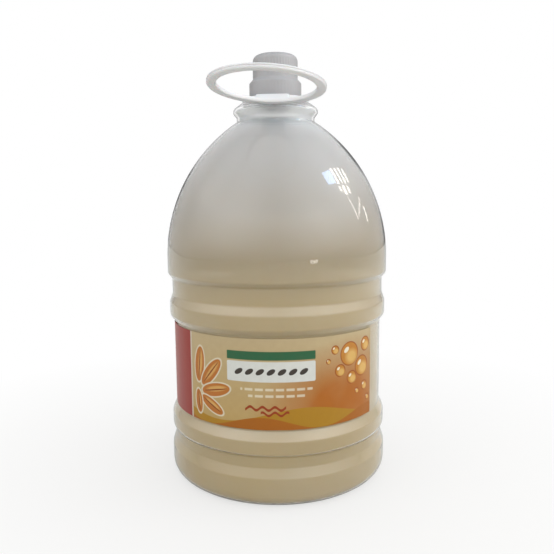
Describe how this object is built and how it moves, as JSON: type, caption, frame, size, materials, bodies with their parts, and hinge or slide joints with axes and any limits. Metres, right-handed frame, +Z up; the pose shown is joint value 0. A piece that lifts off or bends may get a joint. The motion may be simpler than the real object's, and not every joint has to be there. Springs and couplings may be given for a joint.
{
  "type": "liquid soap refill bottle",
  "caption": "Large round clear bottle of pearly liquid soap with grip ribs, a wrap label, a stepped screw cap and a hinged carry ring on the neck.",
  "frame": {"origin": "on the surface it stands on, under the middle of the part's box, which runs from the tip of the carry ring (-Y) to the back of the shoulder (+Y); the bottle's axis is 13.1 mm behind it, at x = 0, y = +0.0131", "axes": "+Z up along the bottle's axis; the label's front faces -Y and +X is to its right"},
  "size_m": [0.157, 0.1832, 0.2952],
  "materials": {
    "clear_pet": "clear blown plastic, glossy",
    "pearl_soap": "opaque pearly liquid",
    "printed_film": "satin printed film",
    "handle_white": "satin white moulded plastic",
    "cap_white": "satin white moulded plastic, ribbed grip",
    "liner_foam": "matt foam"
  },
  "bodies": {
    "filled_bottle": {"bottle": "clear_pet", "liquid_soap": "pearl_soap", "label": "printed_film"},
    "collar": {"handle_collar": "handle_white"},
    "ring": {"carry_ring": "handle_white"},
    "liner": {"cap_liner": "liner_foam"},
    "cap": {"screw_cap": "cap_white"}
  },
  "joints": [
    {"name": "handle_turn", "type": "hinge", "parent": "filled_bottle", "child": "collar", "pos_m": [0, 0.01312, 0.264], "axis": [0, 0, 1], "continuous": true},
    {"name": "handle_swing", "type": "hinge", "parent": "collar", "child": "ring", "pos_m": [-0.00186, -0.01161, 0.26457], "axis": [-0.9972, 0.075, 0], "range_deg": [0, 84]},
    {"name": "cap_lift", "type": "slide", "parent": "filled_bottle", "child": "liner", "axis": [0, 0, 1], "range_m": [0, 0.0064]},
    {"name": "cap_turn", "type": "hinge", "parent": "liner", "child": "cap", "pos_m": [0, 0.01312, 0.28], "axis": [0, 0, 1], "range_deg": [0, 540]}
  ],
  "couplings": [
    {"joint": "cap_lift", "follows": "cap_turn", "m_per_rad": 0.00066845}
  ]
}
